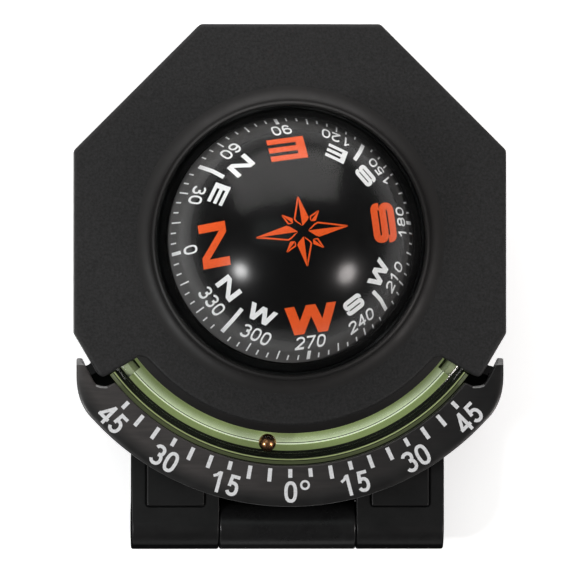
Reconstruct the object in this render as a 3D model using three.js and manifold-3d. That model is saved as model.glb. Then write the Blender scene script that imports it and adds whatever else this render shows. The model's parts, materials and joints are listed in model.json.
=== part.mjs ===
// Liquid-filled ball compass with a ball slope gauge, on a hinged adhesive mount.
// Millimetres and degrees, +Z up. The origin is on the resting plane, under the middle of the
// footprint. The mount is folded flat, with the compass housing lying over its base plate.
//
// Two frames are used. Base pieces are placed from the hinge, in the world's directions. Housing
// pieces are placed from the compass axis, where it meets the bezel's face: +X right, +Y to the
// top edge of the bezel, +Z out of the face.
import * as THREE from 'three';
import { mergeVertices } from 'three/addons/utils/BufferGeometryUtils.js';
import Module from 'manifold-3d';

const wasm = await Module();
wasm.setup();

// ---- driving dimensions ----
const GAP = 0.3; // clearance between neighbouring pieces

const FACE_TILT = 4; // slope of the bezel's face when the mount is folded
const HINGE_Y = -38.14; // hinge line, from the middle of the footprint
const HINGE_Z = 5; // hinge line, above the resting plane
const HINGE_IN_HOUSING = new THREE.Vector3(0, -46, -15);
const KNUCKLE_R = 4;
const PIN_R = 1.5;
const PIN_HALF_LENGTH = 24;
const CENTRE_KNUCKLE_HALF = 10.95;
const ARM_INNER_X = 11.2;
const ARM_OUTER_X = 25.3;
const ARM_ROOT_Y = -34.5; // where the arms run into the rear shell
const PANEL_MARGIN = 2.4; // round the raised panel on each arm
const PANEL_HEIGHT = 0.5;
const KNUCKLE_BORE = 2.55; // in the centre knuckle, for the bush
const BUSH_R = 2.25;
const BUSH_BORE = 1.75;
const BUSH_STEP = 0.6; // how far the bush stops short of the knuckle's ends
const LONG_BORE = 12; // half length of a tool that bores right through the centre knuckle

const PAD_THICKNESS = 1;
const PLATE_TOP = 3.4;
const PLATE_HALF_WIDTH = 25;
const PLATE_FRONT_Y = 6.5; // from the hinge line
const PLATE_REAR_Y = 65;

const BEZEL_HALF = 34.8; // across the flats of the octagon, halved
const BEZEL_EDGE_HALF = 14.5; // half length of its top edge
const BEZEL_SIDE_LOW = -15; // lower end of its side edges
const EAR = { x: 30.5, y: -22.3 }; // lower corners
const WINDOW_HALF_ANGLE = 52.5; // of the slope gauge's window, from straight down
const WINDOW_R = 29.8; // inner edge of that window
const WINDOW_FOOT_R = 31.1; // foot of the window's sloping wall
const FACE_THICKNESS = 1.8;
const SKIRT_BOTTOM = -8;
const SHELL_WALL = 1.6;

const COLLAR_R = 21.7; // bore of the raised collar round the dome
const COLLAR_TOP = 1.8;
const COLLAR_FOOT_R = 24.8;
const CAPSULE_RING_R = 25.6; // outside of the socket that holds the capsule
const CAPSULE_RING_BOTTOM = -8.3;

const REAR_INSET = 0.4; // rear shell's step in from the bezel
const CHEEK_END = 0.3; // how far up the ears' slopes the rear shell's cheeks reach
const REAR_TOP = -8.3;
const REAR_BOTTOM = -16;
const REAR_FLOOR_TOP = -14.4;
const SHELF_HALF_ANGLE = 50;
const SHELF_R = 41.6; // outside of the shelf under the scale plate
const SHELF_TOP = -3.7;
const SHELF_FLOOR = -8.2; // floor of the channel under the tube
const TONGUE_HEIGHT = 1.6; // of the rib that stands up inside the bezel's skirt
const TONGUE_HALF_GAP = 67; // angle from straight down where the tongue starts, past the cheeks

const BEZEL_BOSS_R = 2.6;
const REAR_BOSS_R = 3.2;
const SCREW_HOLE_R = 1.4;
const SCREW_HEAD_HOLE_R = 2.6;
const SCREW_SEAT = -14.6; // floor of each screw head's hole

const TUBE_R = 32.8; // centre line of the slope gauge's tube
const TUBE_Z = -4.7;
const TUBE_OUTER = 2.4;
const TUBE_BORE = 1.6;
const TUBE_HALF_ANGLE = 56.5;
const BALL_R = 1.35;
const BALL_ANGLE = -6.2; // where the ball rests, to the left of straight down
const STOP_ANGLE = 49.6; // inner ends of the tube's plugs
const PLUG_R = 1.25;
const PLUG_END = TUBE_HALF_ANGLE + 0.6;

const SCALE_INNER_R = 36.3;
const SCALE_OUTER_R = 42.9;
const SCALE_HALF_WIDTH = 34.4;
const SCALE_FRONT = -0.9;
const SCALE_BACK = -3.3;

const PIVOT_Z = -3.5; // centre of the capsule's sphere and of the gimbal
const DOME_OUTER_R = 21.4;
const DOME_INNER_R = 20.4;
const FLANGE_R = 23.4;
const BOWL_FLOOR = -15.2;
const BOWL_BOTTOM = -16.2;
const CARD_R = 19.7;
const CARD_CREASE_R = 17.06; // where the card's cap meets its conical skirt
const CARD_SKIN = 0.6;
const CARD_LEAN = 4; // the settled card leans this far to the right
const FILLER_X = 9; // filling hole in the bowl's floor
const FORK_X = 6.8; // outside of the pivot post's fork
const FORK_ARM = 1;
const GIMBAL_BORE = 0.6;
const GIMBAL_PIN = 0.4;
const GIMBAL_REACH = 8; // half length of a tool that bores right through the gimbal
const ROUND = 40; // segments of the large round pieces
const ARC_ROUND = 72; // segments of a full turn of the slope gauge's arcs
const ARC_STEPS = 18; // steps of an outline's long arcs

// ---- solids ----
const radians = THREE.MathUtils.degToRad;

// A closed three.js geometry as a solid. Its shared vertices are merged, its collapsed
// triangles dropped, and its faces turned outwards.
function toSolid(geometry) {
  const bare = geometry.clone();
  bare.deleteAttribute('normal');
  bare.deleteAttribute('uv');
  const merged = mergeVertices(bare, 1e-4);
  const position = merged.attributes.position;
  const corners = [0, 1, 2].map(() => new THREE.Vector3());
  const triangles = [];
  let volume = 0;
  for (let i = 0; i < merged.index.count; i += 3) {
    const [a, b, c] = [0, 1, 2].map((k) => merged.index.getX(i + k));
    if (a === b || b === c || c === a) continue;
    [a, b, c].forEach((v, k) => corners[k].fromBufferAttribute(position, v));
    volume += corners[0].dot(corners[1].clone().cross(corners[2]));
    triangles.push([a, b, c]);
  }
  const outward = volume > 0 ? triangles : triangles.map(([a, b, c]) => [a, c, b]);
  return new wasm.Manifold(new wasm.Mesh({
    numProp: 3,
    vertProperties: Float32Array.from(position.array),
    triVerts: Uint32Array.from(outward.flat()),
  }));
}

function toGeometry(solid) {
  const mesh = solid.getMesh();
  const geometry = new THREE.BufferGeometry();
  geometry.setAttribute('position', new THREE.Float32BufferAttribute(mesh.vertProperties, 3));
  geometry.setIndex(Array.from(mesh.triVerts));
  geometry.computeVertexNormals();
  return geometry;
}

function join(...solids) {
  return solids.reduce((whole, next) => whole.add(next));
}

function cut(solid, ...tools) {
  return tools.reduce((whole, next) => whole.subtract(next), solid);
}

// A flat outline raised from z0 to z1. Points are [x, y].
function slab(points, z0, z1) {
  const shape = new THREE.Shape(points.map(([x, y]) => new THREE.Vector2(x, y)));
  const geometry = new THREE.ExtrudeGeometry(shape, { depth: z1 - z0, bevelEnabled: false });
  return toSolid(geometry.translate(0, 0, z0));
}

// A profile of [radius, z] turned about Z. It starts and ends on the axis, or closes on itself.
function turned(profile, segments = ROUND) {
  const points = profile.map(([r, z]) => new THREE.Vector2(r, z));
  const onAxis = profile[0][0] === 0 && profile[profile.length - 1][0] === 0;
  if (!onAxis) points.push(points[0].clone());
  return toSolid(new THREE.LatheGeometry(points, segments).rotateX(Math.PI / 2));
}

function block(x0, x1, y0, y1, z0, z1) {
  const geometry = new THREE.BoxGeometry(x1 - x0, y1 - y0, z1 - z0);
  return toSolid(geometry.translate((x0 + x1) / 2, (y0 + y1) / 2, (z0 + z1) / 2));
}

function rodX(radius, x0, x1, y = 0, z = 0, sides = 24) {
  const geometry = new THREE.CylinderGeometry(radius, radius, x1 - x0, sides);
  return toSolid(geometry.rotateZ(Math.PI / 2).translate((x0 + x1) / 2, y, z));
}

function rodY(radius, y0, y1, sides = 10) {
  const geometry = new THREE.CylinderGeometry(radius, radius, y1 - y0, sides);
  return toSolid(geometry.translate(0, (y0 + y1) / 2, 0));
}

function rodZ(radius, z0, z1, x = 0, y = 0, sides = 16) {
  const geometry = new THREE.CylinderGeometry(radius, radius, z1 - z0, sides);
  return toSolid(geometry.rotateX(Math.PI / 2).translate(x, y, (z0 + z1) / 2));
}

// ---- outlines ----

// The point at a radius and an angle from straight down, positive to the right.
function downPoint(radius, angle) {
  return [radius * Math.sin(radians(angle)), -radius * Math.cos(radians(angle))];
}

function downArc(radius, from, to, steps) {
  return Array.from({ length: steps + 1 }, (_, i) => downPoint(radius, from + ((to - from) * i) / steps));
}

// A prism that keeps what lies between two angles.
function wedge(from, to) {
  return slab([[0, 0], ...downArc(70, from, to, 8)], -30, 10);
}

// The outline moved inwards by a distance. Points run anticlockwise.
function inset(points, distance) {
  const edges = points.map(([x, y], i) => {
    const [nx, ny] = points[(i + 1) % points.length];
    const length = Math.hypot(nx - x, ny - y);
    const direction = [(nx - x) / length, (ny - y) / length];
    return { direction, from: [x - direction[1] * distance, y + direction[0] * distance] };
  });
  return edges.map((edge, i) => {
    const before = edges.at(i - 1);
    const cross = before.direction[0] * edge.direction[1] - before.direction[1] * edge.direction[0];
    if (Math.abs(cross) < 1e-9) return edge.from;
    const dx = edge.from[0] - before.from[0];
    const dy = edge.from[1] - before.from[1];
    const along = (dx * edge.direction[1] - dy * edge.direction[0]) / cross;
    return [before.from[0] + before.direction[0] * along, before.from[1] + before.direction[1] * along];
  });
}

// The octagon's seven upper edges, from the right ear round to the left ear.
function octagonEdges(step) {
  const half = BEZEL_HALF - step;
  const edge = BEZEL_EDGE_HALF - step * Math.tan(radians(22.5));
  const rise = step * 0.3; // of the lower corners, so that the ears' slopes stay parallel
  const low = BEZEL_SIDE_LOW + rise;
  const ear = [EAR.x - step, EAR.y + rise];
  return [
    ear, [half, low], [half, edge], [edge, half],
    [-edge, half], [-half, edge], [-half, low], [-ear[0], ear[1]],
  ];
}

function bezelOutline() {
  return [...downArc(WINDOW_R, -WINDOW_HALF_ANGLE, WINDOW_HALF_ANGLE, ARC_STEPS), ...octagonEdges(0)];
}

// Under the scale plate's hooks the rear shell has cheeks, which close the gap beside the ears.
function rearOutline() {
  const [ear, ...upper] = octagonEdges(REAR_INSET).slice(0, -1);
  const slopeStart = [0, 1].map((axis) => ear[axis] + (upper[0][axis] - ear[axis]) * CHEEK_END);
  const cheek = [[33.7, -24.4], [34.05, -20.6], slopeStart];
  return [
    ...cheek.map(([x, y]) => [-x, y]).reverse(),
    ...downArc(SHELF_R, -SHELF_HALF_ANGLE, SHELF_HALF_ANGLE, ARC_STEPS),
    ...cheek,
    ...upper,
  ];
}

// The scale plate: outer arc, right corner and hook, inner arc, then the left hook and corner.
function scaleOutline() {
  const sideTop = -19;
  const cornerTop = -21.8;
  const cornerAngle = 47.5;
  const arcEnd = downPoint(SCALE_OUTER_R, cornerAngle);
  const corner = new THREE.QuadraticBezierCurve(
    new THREE.Vector2(...arcEnd),
    new THREE.Vector2(SCALE_HALF_WIDTH, -26.4),
    new THREE.Vector2(SCALE_HALF_WIDTH, cornerTop),
  ).getPoints(6).map(({ x, y }) => [x, y]);
  const hook = [[SCALE_HALF_WIDTH, sideTop], [33.5, sideTop], [31.5, -22.9], [30.6, -23.5]];
  const innerAngle = 50.9;
  const right = [...corner, ...hook];
  const left = right.map(([x, y]) => [-x, y]).reverse();
  return [
    ...downArc(SCALE_OUTER_R, -cornerAngle, cornerAngle, ARC_STEPS).slice(1, -1),
    ...right,
    ...downArc(SCALE_INNER_R, innerAngle, -innerAngle, ARC_STEPS),
    ...left,
  ];
}

// Points on a sphere's meridian about the capsule's centre, from one height to another.
function meridian(radius, fromZ, toZ, steps, centreZ = PIVOT_Z) {
  const from = Math.asin((fromZ - centreZ) / radius);
  const to = Math.asin(Math.min(1, (toZ - centreZ) / radius));
  return Array.from({ length: steps + 1 }, (_, i) => {
    const angle = from + ((to - from) * i) / steps;
    const r = radius * Math.cos(angle);
    return [Math.abs(r) < 1e-6 ? 0 : r, centreZ + radius * Math.sin(angle)];
  });
}

const CASE_SCREWS = {
  case_screw_upper_left: [-27.5, 17],
  case_screw_upper_right: [27.5, 17],
  case_screw_lower_left: [-28, -11.5],
  case_screw_lower_right: [28, -11.5],
};

// ---- base pieces, from the hinge line ----

function basePlate() {
  const corner = 4;
  const plate = [
    [-PLATE_HALF_WIDTH, PLATE_FRONT_Y], [PLATE_HALF_WIDTH, PLATE_FRONT_Y],
    [PLATE_HALF_WIDTH, PLATE_REAR_Y - corner], [PLATE_HALF_WIDTH - corner, PLATE_REAR_Y],
    [-PLATE_HALF_WIDTH + corner, PLATE_REAR_Y], [-PLATE_HALF_WIDTH, PLATE_REAR_Y - corner],
  ];
  const tongue = [
    [-CENTRE_KNUCKLE_HALF, 0], [CENTRE_KNUCKLE_HALF, 0],
    [CENTRE_KNUCKLE_HALF, PLATE_FRONT_Y + 1], [-CENTRE_KNUCKLE_HALF, PLATE_FRONT_Y + 1],
  ];
  return cut(
    join(
      slab(plate, PAD_THICKNESS, PLATE_TOP),
      slab(tongue, PAD_THICKNESS, PLATE_TOP),
      rodX(KNUCKLE_R, -CENTRE_KNUCKLE_HALF, CENTRE_KNUCKLE_HALF, 0, HINGE_Z),
    ),
    rodX(KNUCKLE_BORE, -LONG_BORE, LONG_BORE, 0, HINGE_Z),
  );
}

function adhesivePad() {
  const margin = 1;
  const [x, y0, y1] = [PLATE_HALF_WIDTH - margin, PLATE_FRONT_Y + margin, PLATE_REAR_Y - margin];
  const corner = 4;
  return slab(
    [[-x, y0], [x, y0], [x, y1 - corner], [x - corner, y1], [-x + corner, y1], [-x, y1 - corner]],
    0,
    PAD_THICKNESS,
  );
}

function hingeBush() {
  const length = CENTRE_KNUCKLE_HALF - BUSH_STEP;
  return cut(
    rodX(BUSH_R, -length, length, 0, HINGE_Z),
    rodX(BUSH_BORE, -LONG_BORE, LONG_BORE, 0, HINGE_Z),
  );
}

// ---- housing pieces, from the compass axis on the bezel's face ----

function frontBezel() {
  const outline = bezelOutline();
  const skirt = cut(
    slab(outline, SKIRT_BOTTOM, -1),
    slab(inset(outline, SHELL_WALL), SKIRT_BOTTOM - 1, 0),
  );
  const slopeTop = -0.05;
  const slopeRoot = WINDOW_R - 1;
  const slope = turned([
    [slopeRoot, slopeTop], [WINDOW_R, slopeTop],
    [WINDOW_FOOT_R, -FACE_THICKNESS], [slopeRoot, -FACE_THICKNESS],
  ], ARC_ROUND).intersect(wedge(-WINDOW_HALF_ANGLE, WINDOW_HALF_ANGLE));
  const shoulder = -4.6;
  const socket = turned([
    [COLLAR_R, shoulder], [COLLAR_R, COLLAR_TOP], [22.2, COLLAR_TOP], [22.6, 1.2], [23.2, 0.55],
    [23.9, 0.15], [COLLAR_FOOT_R, 0], [CAPSULE_RING_R, -1], [CAPSULE_RING_R, CAPSULE_RING_BOTTOM],
    [FLANGE_R + 0.4, CAPSULE_RING_BOTTOM], [FLANGE_R + 0.4, shoulder],
  ]);
  const bosses = Object.values(CASE_SCREWS).map(([x, y]) => (
    rodZ(BEZEL_BOSS_R, CAPSULE_RING_BOTTOM, -1, x, y)
  ));
  const holes = Object.values(CASE_SCREWS).map(([x, y]) => rodZ(SCREW_HOLE_R - 0.1, -9, -3, x, y));
  const channelHalfAngle = 59;
  const channel = turned([[30, -20], [36.4, -20], [36.4, -2], [30, -2]], ARC_ROUND)
    .intersect(wedge(-channelHalfAngle, channelHalfAngle));
  const plate = cut(slab(outline, -FACE_THICKNESS, 0), rodZ(COLLAR_R + 0.8, -5, 5, 0, 0, ROUND));
  return cut(join(plate, skirt, slope, socket, ...bosses), channel, ...holes);
}

function rearShell() {
  const outline = rearOutline();
  const floor = slab(outline, REAR_BOTTOM, REAR_FLOOR_TOP);
  const wall = cut(
    slab(outline, REAR_FLOOR_TOP - 0.5, REAR_TOP),
    slab(inset(outline, SHELL_WALL), REAR_FLOOR_TOP, 0),
  );
  const tongueOutline = inset(outline, SHELL_WALL + GAP);
  const tongue = cut(
    slab(tongueOutline, REAR_FLOOR_TOP - 0.5, REAR_TOP + TONGUE_HEIGHT),
    slab(inset(tongueOutline, 1), REAR_FLOOR_TOP, 0),
    wedge(-TONGUE_HALF_GAP, TONGUE_HALF_GAP),
    ...Object.values(CASE_SCREWS).map(([x, y]) => rodZ(BEZEL_BOSS_R + GAP, REAR_TOP - 0.25, 0, x, y)),
  );
  const shelfEnd = SHELF_HALF_ANGLE - 0.4;
  const shelfWedge = wedge(-shelfEnd, shelfEnd);
  const shelf = turned([
    [29.9, -9.6], [29.9, SHELF_FLOOR], [36.2, SHELF_FLOOR], [36.2, SHELF_TOP], [SHELF_R, SHELF_TOP],
    [SHELF_R, -15],
    [SHELF_R - SHELL_WALL, -15], [SHELF_R - SHELL_WALL, -5.3], [37.8, -5.3], [37.8, -9.6],
  ], ARC_ROUND).intersect(shelfWedge);
  const cup = turned([[0, -17.8], [18.8, -17.8], [20.1, -15.9], [20.1, REAR_FLOOR_TOP], [0, REAR_FLOOR_TOP]]);
  const cupHollow = turned([[0, -16.6], [17.8, -16.6], [18.9, -14.6], [18.9, -13], [0, -13]]);
  const bosses = Object.values(CASE_SCREWS).map(([x, y]) => (
    rodZ(REAR_BOSS_R, REAR_BOTTOM, REAR_TOP - 0.4, x, y)
  ));
  const screwHoles = Object.values(CASE_SCREWS).flatMap(([x, y]) => [
    rodZ(SCREW_HOLE_R, REAR_BOTTOM - 1, 0, x, y),
    rodZ(SCREW_HEAD_HOLE_R, REAR_BOTTOM - 1, SCREW_SEAT, x, y),
  ]);
  const { y, z } = HINGE_IN_HOUSING;
  const arms = [-1, 1].flatMap((side) => {
    const [x0, x1] = side < 0 ? [-ARM_OUTER_X, -ARM_INNER_X] : [ARM_INNER_X, ARM_OUTER_X];
    const [left, right] = [x0 + PANEL_MARGIN, x1 - PANEL_MARGIN];
    return [
      block(x0, x1, y, ARM_ROOT_Y, REAR_BOTTOM, z + KNUCKLE_R),
      block(left, right, y + 3, ARM_ROOT_Y - 1.5, z, z + KNUCKLE_R + PANEL_HEIGHT),
      rodX(KNUCKLE_R, x0, x1, y, z),
    ];
  });
  return cut(
    join(floor, wall, tongue, shelf, cup, ...bosses, ...arms),
    cupHollow,
    rodX(PIN_R + GAP, -PIN_HALF_LENGTH - GAP, PIN_HALF_LENGTH + GAP, y, z),
    ...screwHoles,
  );
}

function hingePin() {
  const { y, z } = HINGE_IN_HOUSING;
  return rodX(PIN_R, -PIN_HALF_LENGTH, PIN_HALF_LENGTH, y, z);
}

function caseScrew([x, y]) {
  const body = turned([[0, -15.8], [2.2, -15.8], [2.2, -15], [1, -14.8], [1, -4.6], [0, -4]], 12);
  const socket = rodZ(0.9, -17, -15.2, 0, 0, 6);
  return cut(body, socket).translate([x, y, 0]);
}

function luminousBacking() {
  const profile = [[30, -7.9], [36, -7.9], [36, -3.6], [35.5, -3.6], [35.5, -7.4], [30, -7.4]];
  return turned(profile, ARC_ROUND).intersect(wedge(-53, 53));
}

// A curved rod along the tube's centre line.
function gaugeArc(radius, sides, from, to) {
  const ring = new THREE.TorusGeometry(TUBE_R, radius, sides, ARC_ROUND).translate(0, 0, TUBE_Z);
  return toSolid(ring).intersect(wedge(from, to));
}

function inclinometerTube() {
  const outside = gaugeArc(TUBE_OUTER, 10, -TUBE_HALF_ANGLE, TUBE_HALF_ANGLE);
  return cut(outside, gaugeArc(TUBE_BORE, 8, -TUBE_HALF_ANGLE - 1, TUBE_HALF_ANGLE + 1));
}

function inclinometerBall() {
  const [x, y] = downPoint(TUBE_R, BALL_ANGLE);
  return toSolid(new THREE.SphereGeometry(BALL_R, 12, 8).translate(x, y, TUBE_Z));
}

// ---- capsule ----

function capsuleDome() {
  const flangeTop = -4.9;
  const flangeBottom = -6.4;
  return turned([
    [0, PIVOT_Z + DOME_INNER_R],
    ...meridian(DOME_INNER_R, PIVOT_Z, PIVOT_Z + DOME_INNER_R, 7).reverse().slice(1),
    [DOME_INNER_R, flangeBottom],
    [FLANGE_R, flangeBottom],
    [FLANGE_R, flangeTop],
    [DOME_OUTER_R, flangeTop],
    ...meridian(DOME_OUTER_R, PIVOT_Z, PIVOT_Z + DOME_OUTER_R, 8),
  ]);
}

function capsuleBowl() {
  const flangeTop = -7.4;
  const flangeBottom = -8.4;
  const shell = turned([
    [0, BOWL_BOTTOM],
    ...meridian(DOME_OUTER_R, BOWL_BOTTOM, flangeBottom, 4),
    [FLANGE_R, flangeBottom],
    [FLANGE_R, flangeTop],
    ...meridian(DOME_INNER_R, flangeTop, BOWL_FLOOR, 4),
    [0, BOWL_FLOOR],
  ]);
  return cut(shell, rodZ(1.6, -18, -14, FILLER_X, 0));
}

function fillerPlug() {
  return rodZ(1.3, BOWL_BOTTOM + 0.05, BOWL_FLOOR - 0.1, FILLER_X, 0);
}

function capsuleSeal() {
  return toSolid(new THREE.TorusGeometry(21.7, 0.4, 6, 32).translate(0, 0, -6.9));
}

function capsuleRetainer() {
  return turned([[21.8, -9.6], [25.4, -9.6], [25.4, -8.6], [21.8, -8.6]]);
}

function pivotPost() {
  const depth = 1.3;
  const [crossBottom, crossTop, armTop] = [-10.4, -9.4, PIVOT_Z + 1.2];
  return cut(
    join(
      rodZ(4.5, BOWL_FLOOR + GAP, -14.2),
      rodZ(1.4, BOWL_FLOOR + GAP, -9.6),
      block(-FORK_X, FORK_X, -depth, depth, crossBottom, crossTop),
      block(-FORK_X, -FORK_X + FORK_ARM, -depth, depth, crossBottom, armTop),
      block(FORK_X - FORK_ARM, FORK_X, -depth, depth, crossBottom, armTop),
    ),
    rodX(GIMBAL_BORE, -GIMBAL_REACH, GIMBAL_REACH, 0, PIVOT_Z, 10),
  );
}

// ---- gimbal and card, from the capsule's centre ----

function gimbalRing() {
  const ring = turned([[3.9, -0.9], [5.2, -0.9], [5.2, 0.9], [3.9, 0.9]], 32);
  return cut(
    ring,
    rodX(GIMBAL_BORE, -GIMBAL_REACH, GIMBAL_REACH, 0, 0, 10),
    rodY(GIMBAL_BORE, -GIMBAL_REACH, GIMBAL_REACH),
  );
}

function pivotCradle() {
  const body = turned([
    [0, -4.8], [2.8, -4.8], [2.8, -0.9], [3.2, -0.9], [3.2, 0.9], [1.2, 0.9], [1.2, 1.8],
    [0.6, 1.8], [0.6, 0.4], [0, 0.4],
  ], 24);
  return cut(body, rodY(GIMBAL_BORE, -4, -2), rodY(GIMBAL_BORE, 2, 4));
}

function pivotNeedle() {
  return turned([[0, 0.7], [0.35, 0.7], [0.35, 3.2], [0, 4.2]], 12);
}

function compassCard() {
  const creaseZ = Math.sqrt(CARD_R ** 2 - CARD_CREASE_R ** 2);
  const innerR = CARD_R - CARD_SKIN;
  const innerCreaseR = CARD_CREASE_R - CARD_SKIN;
  const innerCreaseZ = Math.sqrt(innerR ** 2 - innerCreaseR ** 2);
  const stemR = 1.8;
  const stemZ = Math.sqrt(innerR ** 2 - stemR ** 2);
  const rimZ = 0.6;
  return turned([
    [0, 6.3], [1.35, 6.3], [1.35, 4.6], [stemR, 4.6],
    ...meridian(innerR, innerCreaseZ, stemZ, 5, 0).reverse(),
    [innerR, rimZ + 1], [innerR, rimZ], [CARD_R, rimZ], [CARD_R, rimZ + 1],
    ...meridian(CARD_R, creaseZ, CARD_R, 6, 0),
  ]);
}

function cardClosingPlate() {
  return turned([[10, -0.5], [19.2, -0.5], [19.2, 0.2], [10, 0.2]]);
}

function balanceRing() {
  return turned([[10, -2.9], [14.2, -2.9], [14.2, -0.8], [10, -0.8]], 40);
}

function jewelCup() {
  return turned([[0, 4.5], [0.8, 3.9], [1.1, 3.9], [1.1, 6], [0, 6]], 16);
}

function cardMagnet(side) {
  const [x0, x1] = side < 0 ? [-13.2, -10.7] : [10.7, 13.2];
  return block(x0, x1, -6, 6, -5.8, -3.2);
}

// ---- materials ----

function material(color, roughness, metalness = 0, opacity = 1) {
  return new THREE.MeshStandardMaterial({ color, roughness, metalness, opacity, transparent: opacity < 1 });
}

const finishes = {
  texturedBlack: material(0x1e1f20, 0.62),
  mouldedBlack: material(0x191a1b, 0.5),
  satinBlack: material(0x141414, 0.35),
  cardBlack: material(0x0d0d0d, 0.4),
  clear: material(0xf4f8f8, 0.04, 0, 0.25),
  tubeClear: material(0xdfe8cc, 0.06, 0, 0.35),
  luminous: material(0xb9cf94, 0.6),
  copper: material(0xb0713f, 0.28, 1),
  steel: material(0xb9bcc0, 0.3, 1),
  brass: material(0xc2a04f, 0.35, 1),
  rubber: material(0x202020, 0.8),
  foam: material(0x3a3a3c, 0.9),
  white: material(0xd9dad6, 0.5),
  jewel: material(0xb3372f, 0.15),
  magnet: material(0x6b6e73, 0.4, 1),
};

// ---- assembly ----

function place(group, name, solid, finish) {
  const mesh = new THREE.Mesh(toGeometry(solid), finishes[finish]);
  mesh.name = name;
  group.add(mesh);
}

const compass = new THREE.Group();

const base = new THREE.Group();
base.position.set(0, HINGE_Y, 0);
compass.add(base);
place(base, 'base_plate', basePlate(), 'mouldedBlack');
place(base, 'adhesive_pad', adhesivePad(), 'foam');
place(base, 'hinge_bush', hingeBush(), 'white');

const housing = new THREE.Group();
housing.rotation.x = radians(FACE_TILT);
housing.position.set(0, HINGE_Y, HINGE_Z).sub(HINGE_IN_HOUSING.clone().applyEuler(housing.rotation));
compass.add(housing);
place(housing, 'hinge_pin', hingePin(), 'steel');
place(housing, 'front_bezel', frontBezel(), 'texturedBlack');
place(housing, 'rear_shell', rearShell(), 'mouldedBlack');
place(housing, 'scale_plate', slab(scaleOutline(), SCALE_BACK, SCALE_FRONT), 'satinBlack');
for (const [name, spot] of Object.entries(CASE_SCREWS)) {
  place(housing, name, caseScrew(spot), 'steel');
}
place(housing, 'luminous_backing', luminousBacking(), 'luminous');
place(housing, 'inclinometer_tube', inclinometerTube(), 'tubeClear');
place(housing, 'tube_plug_left', gaugeArc(PLUG_R, 8, -PLUG_END, -STOP_ANGLE), 'white');
place(housing, 'tube_plug_right', gaugeArc(PLUG_R, 8, STOP_ANGLE, PLUG_END), 'white');
place(housing, 'inclinometer_ball', inclinometerBall(), 'copper');
place(housing, 'capsule_dome', capsuleDome(), 'clear');
place(housing, 'capsule_bowl', capsuleBowl(), 'satinBlack');
place(housing, 'capsule_seal', capsuleSeal(), 'rubber');
place(housing, 'capsule_retainer', capsuleRetainer(), 'mouldedBlack');
place(housing, 'filler_plug', fillerPlug(), 'rubber');
place(housing, 'pivot_post', pivotPost(), 'white');

const gimbal = new THREE.Group();
gimbal.position.z = PIVOT_Z;
gimbal.rotation.x = -radians(FACE_TILT);
housing.add(gimbal);
for (const [name, x0, x1] of [['fork_pin_left', -7, -4.2], ['fork_pin_right', 4.2, 7]]) {
  place(gimbal, name, rodX(GIMBAL_PIN, x0, x1, 0, 0, 10), 'steel');
}
place(gimbal, 'gimbal_ring', gimbalRing(), 'brass');
for (const [name, y0, y1] of [['cradle_pin_front', -4.9, -2.4], ['cradle_pin_rear', 2.4, 4.9]]) {
  place(gimbal, name, rodY(GIMBAL_PIN, y0, y1), 'steel');
}

const card = new THREE.Group();
card.rotation.y = radians(CARD_LEAN);
gimbal.add(card);
place(card, 'pivot_cradle', pivotCradle(), 'brass');
place(card, 'pivot_needle', pivotNeedle(), 'steel');
place(card, 'compass_card', compassCard(), 'cardBlack');
place(card, 'card_closing_plate', cardClosingPlate(), 'cardBlack');
place(card, 'balance_ring', balanceRing(), 'brass');
place(card, 'jewel_cup', jewelCup(), 'jewel');
place(card, 'card_magnet_left', cardMagnet(-1), 'magnet');
place(card, 'card_magnet_right', cardMagnet(1), 'magnet');

export default compass;
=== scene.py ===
"""Looks of a liquid-filled ball compass with a ball slope gauge, on a hinged adhesive mount."""
import json
import math

import bmesh
import bpy
from mathutils import Matrix, Vector
from mathutils.geometry import tessellate_polygon


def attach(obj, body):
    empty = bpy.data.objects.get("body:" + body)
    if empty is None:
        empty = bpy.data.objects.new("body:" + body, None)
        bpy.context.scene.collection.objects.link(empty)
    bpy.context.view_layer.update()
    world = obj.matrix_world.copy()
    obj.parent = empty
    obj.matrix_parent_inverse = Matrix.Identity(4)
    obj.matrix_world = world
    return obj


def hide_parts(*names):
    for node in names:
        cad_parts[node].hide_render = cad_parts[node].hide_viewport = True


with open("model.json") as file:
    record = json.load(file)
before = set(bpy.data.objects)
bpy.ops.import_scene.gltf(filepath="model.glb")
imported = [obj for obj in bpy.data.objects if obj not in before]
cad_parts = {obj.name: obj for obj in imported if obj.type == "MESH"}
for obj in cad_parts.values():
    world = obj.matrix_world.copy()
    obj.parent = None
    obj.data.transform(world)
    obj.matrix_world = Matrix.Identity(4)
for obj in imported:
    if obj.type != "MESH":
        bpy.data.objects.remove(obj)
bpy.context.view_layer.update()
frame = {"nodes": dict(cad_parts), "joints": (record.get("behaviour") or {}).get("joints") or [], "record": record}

# ---- Frames and driving sizes. Lengths below are in millimetres unless they say otherwise. ----
MM = 0.001
JOINTS = {joint["name"]: joint for joint in frame["joints"]}
FACE_NORMAL = Vector(JOINTS["ball_roll"]["axis"]).normalized()
CAPSULE_CENTRE = Vector(JOINTS["ball_roll"]["pos_m"])
HINGE = Vector(JOINTS["housing_tilt"]["pos_m"])
POLE = Vector(JOINTS["card_spin"]["axis"]).normalized()

CAPSULE_DEPTH = 3.5  # the capsule's centre lies this far behind the bezel's face
SPHERE_OUTER = 21.34
SPHERE_INNER = 20.4
CARD_R = 19.85
CARD_CREASE_R = 17.06
CARD_RIM_Z = 0.6

BEZEL_HALF = 34.8
BEZEL_EDGE_HALF = 14.5
BEZEL_SIDE_LOW = -15.0
EAR = (30.5, -22.3)
WINDOW_HALF_ANGLE = 52.5
WINDOW_R = 29.8
WINDOW_FOOT_R = 31.1
FACE_THICKNESS = 1.8
SKIRT_BOTTOM = -8.0
WALL = 1.6
COLLAR_R = 21.7
COLLAR_TOP = 1.8
COLLAR_FOOT_R = 24.8

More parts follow.
